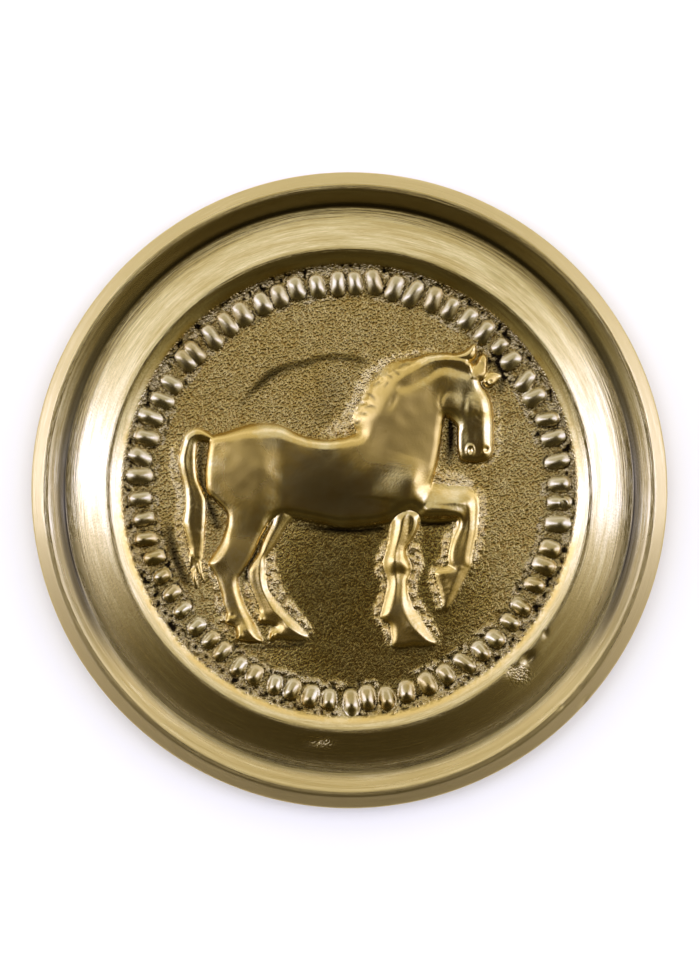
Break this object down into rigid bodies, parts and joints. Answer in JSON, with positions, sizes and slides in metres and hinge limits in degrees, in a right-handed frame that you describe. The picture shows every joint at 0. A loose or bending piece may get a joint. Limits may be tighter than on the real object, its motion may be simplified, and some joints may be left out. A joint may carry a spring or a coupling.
{
  "type": "phalera",
  "caption": "Round cast brass harness or chest disc with a raised rim, a bead ring and a striding horse in relief.",
  "frame": {"origin": "centre of the flat back, the face it lies on", "axes": "+Z out of the face through the disc's thickness, +Y from the horse's hooves to its back, +X the way the horse faces"},
  "size_m": [0.08, 0.08, 0.0044],
  "materials": {
    "cast_brass": "sand cast, dark in the grain of the field, rim and lip turned and brushed bright"
  },
  "bodies": {
    "root": {"phalera": "cast_brass"}
  },
  "joints": []
}
